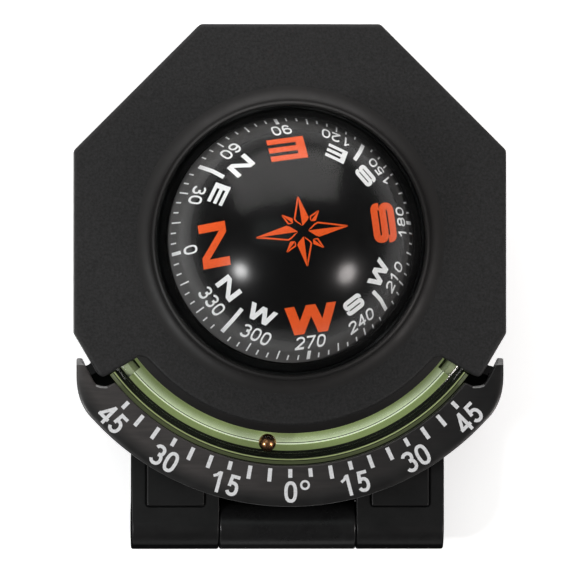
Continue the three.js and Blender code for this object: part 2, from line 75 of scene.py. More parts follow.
REAR_INSET = 0.4
CHEEK_END = 0.3  # how far up the ears' slopes the rear shell's cheeks reach
REAR_TOP = -8.3
REAR_BOTTOM = -16.0
REAR_FLOOR_TOP = -14.4
SHELF_HALF_ANGLE = 50.0
SHELF_R = 41.6
SCREWS = [(-27.5, 17.0), (27.5, 17.0), (-28.0, -11.5), (28.0, -11.5)]

TUBE_R = 32.8
TUBE_Z = -4.7
TUBE_OUTER = 2.4
TUBE_BORE = 1.6
TUBE_HALF_ANGLE = 56.5
BALL_R = 1.42
BALL_ANGLE = -6.2

SCALE_INNER_R = 36.3
SCALE_OUTER_R = 42.9
SCALE_HALF_WIDTH = 34.4
SCALE_FRONT = -0.9
SCALE_BACK = -3.3
HOOK_BEVEL_Y = -20.1  # above this the ends of the plate's hooks slope down
HOOK_BEVEL_SLOPE = 0.5

HINGE_Y = -46.0
HINGE_DEPTH = -15.0
KNUCKLE_R = 4.0
ARM_INNER_X = 11.1
ARM_OUTER_X = 25.3
CENTRE_KNUCKLE_HALF = 11.06
PLATE_HALF_WIDTH = 25.0
PLATE_FRONT_Y = 6.5
PLATE_REAR_Y = 65.0
PLATE_TOP = 3.4
PAD_THICKNESS = 1.0

NORTH_ANGLE = 187.8  # where the card's north points, anticlockwise from the housing's right


def frame_matrix(origin, z_axis):
    """Millimetres in a tilted frame to metres in the row frame. Its X stays in the world's XZ plane."""
    y_axis = z_axis.cross(Vector((1, 0, 0))).normalized()
    x_axis = y_axis.cross(z_axis)
    turn = Matrix((x_axis, y_axis, z_axis)).transposed().to_4x4()
    return Matrix.Translation(origin) @ turn @ Matrix.Scale(MM, 4)


HOUSING = frame_matrix(CAPSULE_CENTRE + FACE_NORMAL * CAPSULE_DEPTH * MM, FACE_NORMAL)
CARD = frame_matrix(CAPSULE_CENTRE, POLE)
BASE = Matrix.Translation((0, HINGE.y, 0)) @ Matrix.Scale(MM, 4)


# ---- Outlines, as lists of (x, y) ----
def down_point(radius, angle):
    """The point at an angle from straight down, positive to the right."""
    a = math.radians(angle)
    return (radius * math.sin(a), -radius * math.cos(a))


def down_arc(radius, start, end, steps):
    return [down_point(radius, start + (end - start) * i / steps) for i in range(steps + 1)]


def circle(radius, centre=(0, 0), steps=32):
    turn = 2 * math.pi / steps
    return [
        (centre[0] + radius * math.cos(turn * i), centre[1] + radius * math.sin(turn * i))
        for i in range(steps)
    ]


def rectangle(x0, x1, y0, y1):
    return [(x0, y0), (x1, y0), (x1, y1), (x0, y1)]


def raised(outline, z):
    return [(x, y, z) for x, y in outline]


def curve(start, bend, end, steps):
    """Points along a curve that leaves start towards bend and comes to end from it."""
    shares = [k / steps for k in range(steps + 1)]
    return [tuple((1 - t) ** 2 * start + 2 * t * (1 - t) * bend + t * t * end) for t in shares]


def quarter_turn(steps):
    """(1 - sine, 1 - cosine) at even steps of a quarter turn, for rounded edges."""
    angles = [math.pi / 2 * k / steps for k in range(steps + 1)]
    return [(1 - math.sin(a), 1 - math.cos(a)) for a in angles]


def inset(points, distance, weights=None):
    """The anticlockwise outline moved inwards, further where a point has more weight."""
    count = len(points)
    moved = []
    for i, (x, y) in enumerate(points):
        before = Vector(points[i - 1])
        here = Vector((x, y))
        after = Vector(points[(i + 1) % count])
        d0 = (here - before).normalized()
        d1 = (after - here).normalized()
        n0 = Vector((-d0.y, d0.x))
        n1 = Vector((-d1.y, d1.x))
        middle = (n0 + n1).normalized()
        reach = distance * (weights[i] if weights else 1)
        moved.append(tuple(here + middle * reach / max(0.3, middle.dot(n1))))
    return moved


def round_corners(points, radius, steps=5, least_turn=14):
    """The outline with each real corner replaced by an arc."""
    count = len(points)
    rounded = []
    for i, point in enumerate(points):
        here = Vector(point)
        back = Vector(points[i - 1]) - here
        ahead = Vector(points[(i + 1) % count]) - here
        turn = math.pi - back.angle(ahead)
        if math.degrees(turn) < least_turn:
            rounded.append(tuple(here))
            continue
        reach = min(radius * math.tan(turn / 2), 0.45 * back.length, 0.45 * ahead.length)
        start = here + back.normalized() * reach
        end = here + ahead.normalized() * reach
        rounded += curve(start, here, end, steps)
    return rounded


def octagon_edges(step):
    half = BEZEL_HALF - step
    edge = BEZEL_EDGE_HALF - step * 0.4
    low = BEZEL_SIDE_LOW + step * 0.3
    right = [(EAR[0] - step, EAR[1] + step * 0.3), (half, low), (half, edge), (edge, half)]
    return right + [(-x, y) for x, y in reversed(right)]


def bezel_outline():
    reach = WINDOW_HALF_ANGLE - 5
    corner_r = WINDOW_R + 0.95
    corners = [down_point(corner_r, side * WINDOW_HALF_ANGLE) for side in (-1, 1)]
    bends = [down_point(WINDOW_R + 0.15, side * (WINDOW_HALF_ANGLE - 1.7)) for side in (-1, 1)]
    window = [corners[0], bends[0]] + down_arc(WINDOW_R, -reach, reach, 56) + [bends[1], corners[1]]
    return window + octagon_edges(0)


def rear_outline():
    ear, *upper = octagon_edges(REAR_INSET)[:-1]
    slope_start = tuple(Vector(ear).lerp(Vector(upper[0]), CHEEK_END))
    cheek = [(33.7, -24.4), (34.05, -20.6), slope_start]
    mirrored = [(-x, y) for x, y in reversed(cheek)]
    arc = down_arc(SHELF_R, -SHELF_HALF_ANGLE, SHELF_HALF_ANGLE, 60)
    return mirrored + arc + cheek + upper


def scale_outline():
    """The plate's outer arc, its right corner and hook, its inner arc, and the mirrored hook."""
    corner_angle = 47.5
    hook_top = -19.0
    inner_angle = 50.9
    start = Vector(down_point(SCALE_OUTER_R, corner_angle))
    bend = Vector((SCALE_HALF_WIDTH, -26.4))
    end = Vector((SCALE_HALF_WIDTH, -21.8))
    corner = curve(start, bend, end, 12)
    hook = [
        (SCALE_HALF_WIDTH, HOOK_BEVEL_Y), (SCALE_HALF_WIDTH, hook_top), (33.5, hook_top),
        (32.98, HOOK_BEVEL_Y), (32.6, -20.9), (31.6, -22.75),
    ]
    notch = [(31.15, -23.25), (30.5, -23.45), (29.6, -23.5)]
    right = corner + hook + notch
    left = [(-x, y) for x, y in reversed(right)]
    outer = down_arc(SCALE_OUTER_R, -corner_angle, corner_angle, 80)[1:-1]
    inner = down_arc(SCALE_INNER_R, inner_angle, -inner_angle, 80)
    return outer + right + inner + left


# ---- Mesh building ----
class Shape:
    """Gathers closed solids in one frame, then makes one object of them."""

    def __init__(self, matrix):
        self.matrix = matrix
        self.points = []
        self.faces = []
        self.slots = []

    def add(self, points, faces, slot=0):
        start = len(self.points)
        self.points += [Vector(p) for p in points]
        self.faces += [[start + i for i in face] for face in faces]
        self.slots += [slot] * len(faces)

    def slab(self, outline, low, high, radius=0.3, foot=0.15, holes=(), steps=5, weights=None):
        """A plate with rounded edges. Holes go right through it, with square edges."""
        flat = 0.05  # the width of a flat ring round each end face
        rings = [(foot + flat, low)]
        rings += [(foot * s, low + foot * c) for s, c in quarter_turn(steps)]
        rings += [(radius * c, high - radius * s) for s, c in quarter_turn(steps)]
        rings.append((radius + flat, high))
        loops = [raised(inset(outline, shift, weights), z) for shift, z in rings]
        self.loft(loops)
        self.cap([loops[-1]] + [raised(hole, high) for hole in holes], up=True)
        self.cap([loops[0]] + [raised(hole, low) for hole in holes], up=False)
        for hole in holes:
            self.loft([raised(hole, high), raised(hole, low)])

    def loft(self, loops, slot=0, closed=False):
        """Quads between loops of points. Anticlockwise loops that climb face outwards."""
        count = len(loops[0])
        points = [p for loop in loops for p in loop]
        faces = []
        rows = len(loops) if closed else len(loops) - 1
        for r in range(rows):
            nxt = (r + 1) % len(loops)
            for i in range(count):
                j = (i + 1) % count
                faces.append([r * count + i, r * count + j, nxt * count + j, nxt * count + i])
        self.add(points, faces, slot)

    def cap(self, loops, up):
        """A flat face with an outline first and then its holes, facing up or down."""
        points = [Vector(p) for loop in loops for p in loop]
        faces = []
        for a, b, c in tessellate_polygon([[Vector(p) for p in loop] for loop in loops]):
            normal = (points[b] - points[a]).cross(points[c] - points[a])
            faces.append([a, b, c] if (normal.z > 0) == up else [a, c, b])
        self.add(points, faces)

    def turned(self, profile, segments=128, slot=0, slots=None):
        """A profile of (radius, z) turned about Z. It ends on the axis, or closes on itself."""
        on_axis = profile[0][0] == 0 and profile[-1][0] == 0
        points = []
        rows = []
        for r, z in profile:
            if r == 0:
                rows.append([len(points)] * segments)
                points.append((0, 0, z))
                continue
            rows.append(list(range(len(points), len(points) + segments)))
            for i in range(segments):
                a = 2 * math.pi * i / segments
                points.append((r * math.cos(a), r * math.sin(a), z))
        pairs = list(zip(rows, rows[1:]))
        if not on_axis:
            pairs.append((rows[-1], rows[0]))
        for number, (low, high) in enumerate(pairs):
            faces = []
            for i in range(segments):
                j = (i + 1) % segments
                corners = [low[i], low[j], high[j], high[i]]
                faces.append(list(dict.fromkeys(corners)))
            chosen = slots[number] if slots else slot
            self.faces += [[len(self.points) + v for v in face] for face in faces]
            self.slots += [chosen] * len(faces)
        self.points += [Vector(p) for p in points]

    def swept(self, profile, start, end, steps=80, slots=None, slot=0):
        """A closed profile of (radius, z) carried round Z between two angles from straight down."""
        count = len(profile)
        loops = []
        for k in range(steps + 1):
            angle = start + (end - start) * k / steps
            loops.append([(*down_point(r, angle), z) for r, z in profile])
        base = len(self.points)
        self.points += [Vector(p) for loop in loops for p in loop]
        for k in range(steps):
            for i in range(count):
                j = (i + 1) % count
                face = [k * count + i, (k + 1) * count + i, (k + 1) * count + j, k * count + j]
                self.faces.append([base + v for v in face])
                self.slots.append(slots[i] if slots else slot)
        for face in (list(range(count)), [steps * count + i for i in reversed(range(count))]):
            self.faces.append([base + v for v in face])
            self.slots.append(slot)

    def rod_x(self, radius, x0, x1, y=0, z=0, rounding=0.3, slot=0, bore=0):
        """A cylinder along X with rounded ends, and a bore if one is given."""
        rounds = quarter_turn(4)
        profile = [(bore, x0)]
        profile += [(radius - rounding * s, x0 + rounding * c) for s, c in rounds]
        profile += [(radius - rounding * c, x1 - rounding * s) for s, c in rounds]
        profile.append((bore, x1))
        part = Shape(self.matrix)
        part.turned(profile, 64)
        self.add([(p.z, y + p.x, z + p.y) for p in part.points], part.faces, slot)

    def make(self, name, body, slot_name, materials, replaces=(), sharp=38):
        """The finished object, riding on its body."""
        mesh = bpy.data.meshes.new(name)
        mesh.from_pydata([self.matrix @ p for p in self.points], [], self.faces)
        for material in materials:
            mesh.materials.append(material)
        mesh.polygons.foreach_set("material_index", self.slots)
        mesh.polygons.foreach_set("use_smooth", [True] * len(mesh.polygons))
        mesh.validate()
        weld(mesh)
        mesh.set_sharp_from_angle(angle=math.radians(sharp))
        piece = new_object(name, mesh)
        shading = piece.modifiers.new("even_normals", "WEIGHTED_NORMAL")
        shading.mode = "FACE_AREA"
        shading.weight = 50
        shading.keep_sharp = True
        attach(piece, body)
        if replaces:
            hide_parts(*replaces)
        return piece


def new_object(name, data):
    """An object with this data, linked to the scene."""
    item = bpy.data.objects.new(name, data)
    bpy.context.scene.collection.objects.link(item)
    return item


def weld(mesh):
    """Joins points that share a place, and turns every solid's faces outwards."""
    work = bmesh.new()
    work.from_mesh(mesh)
    bmesh.ops.remove_doubles(work, verts=work.verts, dist=1e-6)
    bmesh.ops.recalc_face_normals(work, faces=work.faces)
    work.to_mesh(mesh)
    work.free()


def meridian(radius, low_z, high_z, steps, centre_z=0.0):
    """Points up a sphere's side, from one height to another."""
    start = math.asin((low_z - centre_z) / radius)
    end = math.asin(min(1, (high_z - centre_z) / radius))
    points = []
    for k in range(steps + 1):
        a = start + (end - start) * k / steps
        r = radius * math.cos(a)
        points.append((0 if r < 1e-5 else r, centre_z + radius * math.sin(a)))
    return points


# ---- Materials ----
class Look:
    """A material with helpers for the nodes that give a surface its detail."""

    def __init__(self, name):
        self.material = bpy.data.materials.new(name)
        self.material.use_nodes = True
        self.tree = self.material.node_tree
        self.nodes = self.tree.nodes
        self.shader = self.nodes["Principled BSDF"]
        self.coords = self.nodes.new("ShaderNodeTexCoord").outputs["Object"]

    def link(self, source, target):
        self.tree.links.new(source, target)

    def feed(self, socket, source):
        """Links a source to one of the shader's sockets."""
        self.link(source, self.shader.inputs[socket])

    def fix(self, socket, value):
        """Sets one of the shader's sockets to a constant."""
        self.shader.inputs[socket].default_value = value

    def noise(self, scale, detail=4.0, roughness=0.6):
        node = self.nodes.new("ShaderNodeTexNoise")
        node.inputs["Scale"].default_value = scale
        node.inputs["Detail"].default_value = detail
        node.inputs["Roughness"].default_value = roughness
        self.link(self.coords, node.inputs["Vector"])
        return node.outputs["Fac"]

    def ramp(self, source, low, high, start=0.3, end=0.7):
        node = self.nodes.new("ShaderNodeMapRange")
        node.inputs["From Min"].default_value = start
        node.inputs["From Max"].default_value = end
        node.inputs["To Min"].default_value = low
        node.inputs["To Max"].default_value = high
        self.link(source, node.inputs["Value"])
        return node.outputs["Result"]

    def blend(self, source, first, second, start=0.3, end=0.7):
        """A colour between two, led by a pattern."""
        node = self.nodes.new("ShaderNodeMix")
        node.data_type = "RGBA"
        node.inputs["A"].default_value = (*first, 1)
        node.inputs["B"].default_value = (*second, 1)
        self.link(self.ramp(source, 0, 1, start, end), node.inputs["Factor"])
        return node.outputs["Result"]

    def bump(self, source, strength, distance):
        node = self.nodes.new("ShaderNodeBump")
        node.inputs["Strength"].default_value = strength
        node.inputs["Distance"].default_value = distance
        self.link(source, node.inputs["Height"])
        self.link(node.outputs["Normal"], self.shader.inputs["Normal"])


def plastic(name, colour, roughness, grain, depth, mottle=0.25, specular=0.5, grazing=True):
    """Moulded plastic: a fine grain, slight mottle, uneven sheen, and little sheen at its rims if asked."""
    look = Look(name)
    tone = look.noise(grain * 0.5, 3)
    dark = [c * (1 - mottle) for c in colour]
    light = [c * (1 + mottle) for c in colour]
    look.feed("Base Color", look.blend(tone, dark, light))
    sheen = look.noise(260, 2)
    look.feed("Roughness", look.ramp(sheen, roughness - 0.05, roughness + 0.05))
    look.fix("Specular IOR Level", specular)
    if not grazing:
        facing = look.nodes.new("ShaderNodeLayerWeight").outputs["Facing"]
        look.feed("Specular IOR Level", look.ramp(facing, specular, 0, 0.05, 0.45))
    look.bump(look.noise(grain, 5, 0.7), 0.6, depth)
    return look.material


def scale_satin():
    """Satin black with faint streaks. Paler and browner to the left: a painted sheen. Black at the outer rim:
    painted shade.
    """
    look = Look("scale_satin_black_painted_sheen_and_shade")
    stretch = look.nodes.new("ShaderNodeMapping")
    stretch.inputs["Scale"].default_value = (0.12, 1, 1)
    look.link(look.coords, stretch.inputs["Vector"])
    across = look.nodes.new("ShaderNodeSeparateXYZ")
    look.link(look.coords, across.inputs["Vector"])
    streaks = look.noise(1700, 3)
    look.link(stretch.outputs["Vector"], streaks.node.inputs["Vector"])
    # Painted sheen: paler and browner to the left, darker to the right.
    side = look.blend(across.outputs["X"], (0.04, 0.0362, 0.0355), (0.0065, 0.006, 0.0062), -0.014, 0.03)
    streaked = look.nodes.new("ShaderNodeMix")
    streaked.data_type = "RGBA"
    streaked.blend_type = "MULTIPLY"
    streaked.inputs["Factor"].default_value = 1
    look.link(side, streaked.inputs["A"])
    look.link(look.blend(streaks, (0.8, 0.8, 0.8), (1.15, 1.14, 1.13), 0.35, 0.65), streaked.inputs["B"])
    # Painted shade: the plate turns black over its outer rim, where it rolls off.
    radius = look.nodes.new("ShaderNodeVectorMath")
    radius.operation = "DISTANCE"
    radius.inputs[1].default_value = CAPSULE_CENTRE
    look.link(look.coords, radius.inputs[0])
    rim = look.nodes.new("ShaderNodeMix")
    rim.data_type = "RGBA"
    rim.inputs["B"].default_value = (0.007, 0.0068, 0.0068, 1)
    look.link(look.ramp(radius.outputs["Value"], 0, 1, 0.0402, 0.0422), rim.inputs["Factor"])
    look.link(streaked.outputs["Result"], rim.inputs["A"])
    look.feed("Base Color", rim.outputs["Result"])
    look.feed("Roughness", look.ramp(look.noise(260, 2), 0.32, 0.42))
    look.bump(look.noise(1500, 5, 0.7), 0.6, 0.000006)
    return look.material


def card_skirt_grey():
    """The card's skirt: dark grey at the crease, paler towards the rim. The dark is painted shade at the crease,
    and the pale is painted light towards the rim.
    """
    look = Look("card_skirt_grey")
    height = look.nodes.new("ShaderNodeVectorMath")
    height.operation = "DOT_PRODUCT"
    height.inputs[1].default_value = POLE
    look.link(look.coords, height.inputs[0])
    foot = CAPSULE_CENTRE.dot(POLE) + CARD_RIM_Z * MM
    crease = foot + 9 * MM
    # Painted shading: pale at the skirt's foot by the rim, dark grey up at the crease.
    shade = look.blend(height.outputs["Value"], (0.17, 0.165, 0.163), (0.016, 0.0155, 0.0155), foot, crease)
    look.feed("Base Color", shade)
    look.feed("Roughness", look.ramp(look.noise(260, 2), 0.45, 0.55))
    look.fix("Specular IOR Level", 0.2)
    look.bump(look.noise(2200, 5, 0.7), 0.6, 0.000006)
    return look.material


def metal(name, colour, roughness, grain=900):
    """Turned or drawn metal: fine streaks and slight tarnish."""
    look = Look(name)
    look.fix("Metallic", 1)
    tarnish = look.noise(grain * 0.4, 4)
    dull = [c * 0.72 for c in colour]
    look.feed("Base Color", look.blend(tarnish, dull, colour))
    look.feed("Roughness", look.ramp(look.noise(grain, 6), roughness * 0.7, roughness * 1.3))
    look.bump(look.noise(grain * 4, 3), 0.15, 0.00001)
    return look.material


def clear_shell(name, tint, reflect, roughness, swirl):
    """A clear moulding: what lies behind shows through, and only the side facing out reflects."""
    look = Look(name)
    look.nodes.remove(look.shader)
    through = look.nodes.new("ShaderNodeBsdfTransparent")
    through.inputs["Color"].default_value = (*tint, 1)
    gloss = look.nodes.new("ShaderNodeBsdfGlossy")
    gloss.inputs["Color"].default_value = (1, 1, 1, 1)
    look.link(look.ramp(look.noise(swirl, 2), roughness * 0.8, roughness * 1.2), gloss.inputs["Roughness"])
    fresnel = look.nodes.new("ShaderNodeFresnel")
    fresnel.inputs["IOR"].default_value = reflect
    outside = look.ramp(look.nodes.new("ShaderNodeNewGeometry").outputs["Backfacing"], 1, 0, 0, 1)
    amount = look.nodes.new("ShaderNodeMath")
    amount.operation = "MULTIPLY"
    look.link(fresnel.outputs["Fac"], amount.inputs[0])
    look.link(outside, amount.inputs[1])
    mix = look.nodes.new("ShaderNodeMixShader")
    look.link(amount.outputs["Value"], mix.inputs["Fac"])
    look.link(through.outputs["BSDF"], mix.inputs[1])
    look.link(gloss.outputs["BSDF"], mix.inputs[2])
    look.link(mix.outputs["Shader"], look.nodes["Material Output"].inputs["Surface"])
    return look.material


def ink(name, colour, worn, painted_glow):
    """Printed ink: slightly uneven cover, with a faint edge of wear. Its emission is painted light that keeps it
    bright where little light falls.
    """
    look = Look(name)
    cover = look.noise(2600, 5)
    look.feed("Base Color", look.blend(cover, worn, colour, 0.3, 0.5))
    look.feed("Roughness", look.ramp(look.noise(900, 3), 0.42, 0.58))
    look.bump(cover, 0.2, 0.00001)
    look.fix("Specular IOR Level", 0.3)
    look.fix("Emission Color", (*colour, 1))
    look.fix("Emission Strength", painted_glow)
    return look.material


BEZEL_BLACK = plastic("bezel_spark_texture", (0.0142, 0.0142, 0.0145), 0.6, 5200, 0.00006, 0.5, 0.3)
COLLAR_BLACK = plastic("collar_satin", (0.0062, 0.0055, 0.0053), 0.56, 2600, 0.000008, 0.15, 0.46)
MOULDED_BLACK = plastic(
    "moulded_black", (0.0045, 0.0045, 0.0047), 0.45, 3000, 0.000012, 0.2, 0.38, grazing=False
)
# A paler, glossier copy of the moulded black for the base's knuckle. Its paler colour is a painted sheen.
KNUCKLE_BLACK = plastic(
    "knuckle_sheen", (0.0085, 0.0085, 0.0088), 0.3, 3000, 0.000008, 0.2, 0.5, grazing=False
)
SCALE_BLACK = scale_satin()
# Grey for the hook bevels and notch edges: painted highlight where they catch the top light.
SCALE_EDGE_PAINTED_HIGHLIGHT = plastic("scale_edge_painted_highlight", (0.17, 0.17, 0.17), 0.4, 1500, 0.000006, 0.35)
CARD_BLACK = plastic("card_black", (0.0022, 0.0022, 0.0023), 0.5, 1800, 0.000004, 0.3, 0.06)
CARD_GREY = card_skirt_grey()
CLEAR_DOME = clear_shell("clear_dome", (0.98, 0.985, 0.985), 1.34, 0.215, 90)
CLEAR_TUBE = clear_shell("clear_tube", (0.97, 0.99, 0.95), 1.45, 0.12, 240)
# The tube's bore touches the liquid, so it hardly reflects.
WET_BORE = clear_shell("clear_tube_bore", (0.985, 0.995, 0.975), 1.03, 0.3, 240)


def luminous(name, colour, painted_glow):
    """Pigmented plastic with an emission: painted light that stands in for the light the shaded groove behind the
    tube does not get.
    """
    material = plastic(name, colour, 0.5, 1600, 0.00001, 0.08)
    shader = material.node_tree.nodes["Principled BSDF"]
    shader.inputs["Emission Color"].default_value = (*colour, 1)
    shader.inputs["Emission Strength"].default_value = painted_glow
    return material


GREEN = (0.265, 0.315, 0.14)
# The palest green tops a painted highlight beside the rib.
PAINTED_HIGHLIGHT_PEAK = (0.68, 0.74, 0.56)
PALE_STEPS = 7


def pale_green(step):
    """One of the greens beside the strip's rib, the first being the palest: steps of a painted highlight, the top
    light's reflection on the tube.
    """
    share = (1 - step / PALE_STEPS) ** 1.6
    colour = tuple(a + (b - a) * share for a, b in zip(GREEN, PAINTED_HIGHLIGHT_PEAK))
    return luminous(f"tube_highlight_painted_{step}", colour, 0.5)


# The green's emission is painted light.
GLOW_GREEN = luminous("luminous_green", GREEN, 0.5)
# A darker copy of the green: painted shade on the lip's outer slope and on the strip's underside and outer wall.
GLOW_SHADE = luminous("luminous_green_shade", (0.13, 0.155, 0.075), 0.42)
# The rib's pale line is a painted highlight: the tube bore's reflection.
PAINTED_HIGHLIGHT_RIB = luminous("painted_highlight_rib", (0.8, 0.86, 0.7), 0.7)
PAINTED_HIGHLIGHT_GREENS = [pale_green(step) for step in range(PALE_STEPS)]
# Painted dark: the tube's dark refracted edge laid on the strip, and shade on the lip's walls.
PAINTED_DARK_BAND = plastic("gauge_painted_dark_band", (0.008, 0.008, 0.007), 0.4, 1600, 0.000006, 0.2)
# Each ink's last number is its emission: painted light.
INK_WHITE = ink("ink_white", (0.74, 0.74, 0.74), (0.6, 0.6, 0.6), 0.26)
INK_GREY = ink("ink_pale_grey", (0.62, 0.63, 0.64), (0.48, 0.48, 0.49), 0.12)
INK_ORANGE = ink("ink_orange", (0.82, 0.095, 0.008), (0.68, 0.075, 0.006), 0.1)
COPPER = metal("copper_ball", (0.78, 0.35, 0.17), 0.26, 1500)
STEEL = metal("turned_steel", (0.2, 0.2, 0.21), 0.35)
BRASS = metal("turned_brass", (0.68, 0.48, 0.17), 0.3)
MAGNET = metal("sintered_magnet", (0.2, 0.2, 0.21), 0.45, 2000)
RUBBER = plastic("soft_rubber", (0.05, 0.05, 0.05), 0.75, 2400, 0.00002, 0.2, 0.3)
FOAM = plastic("foam_pad", (0.035, 0.035, 0.037), 0.9, 2800, 0.0001, 0.35, 0.2)
NYLON = plastic("natural_nylon", (0.3, 0.35, 0.19), 0.45, 1400, 0.00001, 0.06)
JEWEL = plastic("jewel", (0.45, 0.03, 0.03), 0.12, 900, 0.000002, 0.15, 0.8)


# ---- Housing pieces ----
def build_bezel():
    """The octagonal cover, with its flared collar and the slope gauge's window."""
    shape = Shape(HOUSING)
    outline = round_corners(bezel_outline(), 1.1)
    opening = circle(COLLAR_FOOT_R, steps=128)
    shape.slab(outline, -FACE_THICKNESS, 0, radius=0.55, foot=0.05, holes=[opening])
    wall_top = 0.1 - FACE_THICKNESS
    wall_out = [raised(inset(outline, 0.02), z) for z in (SKIRT_BOTTOM, wall_top)]
    wall_in = [raised(inset(outline, WALL), z) for z in (wall_top, SKIRT_BOTTOM)]
    shape.loft(wall_out + wall_in, closed=True)
    fillet_reach, fillet_rise, steps = 2.3, 1.35, 8
    fillet = []
    for k in range(steps + 1):
        a = math.pi / 2 * k / steps
        fillet.append((COLLAR_FOOT_R - fillet_reach * math.sin(a), fillet_rise * (1 - math.cos(a))))
    lip = [(22.35, 1.62), (22.2, 1.74), (22.0, COLLAR_TOP), (21.85, 1.74), (COLLAR_R, 1.6)]
    socket = [
        (COLLAR_R, -4.6), (23.8, -4.6), (23.8, -8.3), (25.6, -8.3), (25.6, -0.9), (COLLAR_FOOT_R, -0.9),
    ]
    shape.turned(fillet + lip + socket, 160, slot=1)
    slope = [
        (WINDOW_R - 0.8, -0.5), (WINDOW_R - 0.05, -0.5),
        (WINDOW_FOOT_R, -FACE_THICKNESS), (WINDOW_R - 0.8, -FACE_THICKNESS),
    ]
    shape.swept(slope, -WINDOW_HALF_ANGLE, WINDOW_HALF_ANGLE, slot=1)
    looks = [BEZEL_BLACK, COLLAR_BLACK]
    return shape.make("bezel_cover", "housing", "textured_black", looks, ["front_bezel"])


def build_rear_shell():
    """The rear tray with its capsule cup, scale shelf and the two outer hinge arms."""
    shape = Shape(HOUSING)
    outline = round_corners(rear_outline(), 1.1)
    inner = inset(outline, WALL)
    cup_hole = circle(19.6, steps=96)
    screw_holes = [circle(2.6, spot) for spot in SCREWS]
    foot = 0.7
    rings = [(foot * s, REAR_BOTTOM + foot * c) for s, c in quarter_turn(5)] + [(0, REAR_TOP)]
    loops = [raised(inset(outline, shift), z) for shift, z in rings]
    loops += [raised(inner, z) for z in (REAR_TOP, REAR_FLOOR_TOP)]
    shape.loft(loops)
    shape.cap([loops[0]] + [raised(hole, REAR_BOTTOM) for hole in [cup_hole] + screw_holes], up=False)
    shape.cap([loops[-1], raised(cup_hole, REAR_FLOOR_TOP)], up=True)
    shape.loft([raised(cup_hole, z) for z in (REAR_FLOOR_TOP, REAR_BOTTOM)])
    screw_seat = -14.6
    for hole in screw_holes:
        shape.loft([raised(hole, z) for z in (screw_seat, REAR_BOTTOM)])
        shape.cap([raised(hole, screw_seat)], up=False)
    cup = [
        (0, -17.8), (18.2, -17.8), (18.9, -17.5), (20.1, -15.9),
        (20.1, -14.5), (18.9, -14.5), (17.8, -16.6), (0, -16.6),
    ]
    shape.turned(cup, 96)
    riser = [
        (29.9, -9.6), (40.0, -9.6), (40.0, -14.0), (SHELF_R, -14.0), (SHELF_R, -3.9),
        (SHELF_R - 0.2, -3.7), (36.2, -3.7), (36.2, -8.2), (29.9, -8.2),
    ]
    shape.swept(riser, -SHELF_HALF_ANGLE + 0.4, SHELF_HALF_ANGLE - 0.4)
    arm_front = HINGE_DEPTH + KNUCKLE_R
    arm_end, panel_end = -34.5, -36
    margin = 2.4
    groove = 0.22
    for side in (-1, 1):
        x0, x1 = sorted((side * ARM_INNER_X, side * ARM_OUTER_X))
        px0, px1 = x0 + margin, x1 - margin
        arm = rectangle(x0, x1, HINGE_Y, arm_end)
        panel = round_corners(rectangle(px0, px1, HINGE_Y + 3, panel_end), 0.5)
        recess = inset(panel, -groove)
        shape.slab(arm, REAR_BOTTOM, arm_front, radius=0.25, foot=0.25, holes=[recess])
        shape.slab(recess, REAR_BOTTOM + 0.02, arm_front - 0.5, radius=0.01, foot=0.01)
        shape.slab(panel, HINGE_DEPTH, arm_front + 0.5, radius=0.3, foot=0.02)
        shape.rod_x(KNUCKLE_R, x0, x1, HINGE_Y, HINGE_DEPTH, rounding=0.35)
    return shape.make("rear_housing", "housing", "moulded_black", [MOULDED_BLACK], ["rear_shell"])


def build_scale_plate():
    """The plate under the numbers. Its outer part rolls off, and its hooks end in a bevel."""
    shape = Shape(HOUSING)
    outline = round_corners(scale_outline(), 0.35, least_turn=25)
    roll_start, roll_end, roll = 38.9, 40.5, 4.5
    notch_floor, notch_roll = -23.1, 1.4
    weights = []
    for x, y in outline:
        radius = math.hypot(x, y)
        outer = min(1, max(0, (radius - roll_start) / (roll_end - roll_start)))
        in_notch = radius < roll_start and y > -24 and y < notch_floor
        weights.append(notch_roll if in_notch else 1 + (roll - 1) * outer)
    shape.slab(outline, SCALE_BACK, SCALE_FRONT, radius=0.32, foot=0.1, steps=8, weights=weights)
    for point in shape.points:
        if point.y > HOOK_BEVEL_Y and point.z > SCALE_BACK + 0.5:
            point.z -= (point.y - HOOK_BEVEL_Y) * HOOK_BEVEL_SLOPE
    # The hook bevels and the notch's front edge take the grey: painted highlight.
    for number, face in enumerate(shape.faces):
        middle = sum((shape.points[i] for i in face), Vector()) / len(face)
        on_hook = middle.y > HOOK_BEVEL_Y and middle.z > SCALE_FRONT - 0.8
        on_notch = notch_floor - 1.2 < middle.y < notch_floor and 29.4 < abs(middle.x) < 31.3
        on_edge = SCALE_FRONT - 0.35 < middle.z < SCALE_FRONT - 0.01
        shape.slots[number] = 1 if on_hook or (on_notch and on_edge) else 0
    looks = [SCALE_BLACK, SCALE_EDGE_PAINTED_HIGHLIGHT]
    return shape.make("scale_band", "housing", "scale_black", looks, ["scale_plate"], sharp=22)


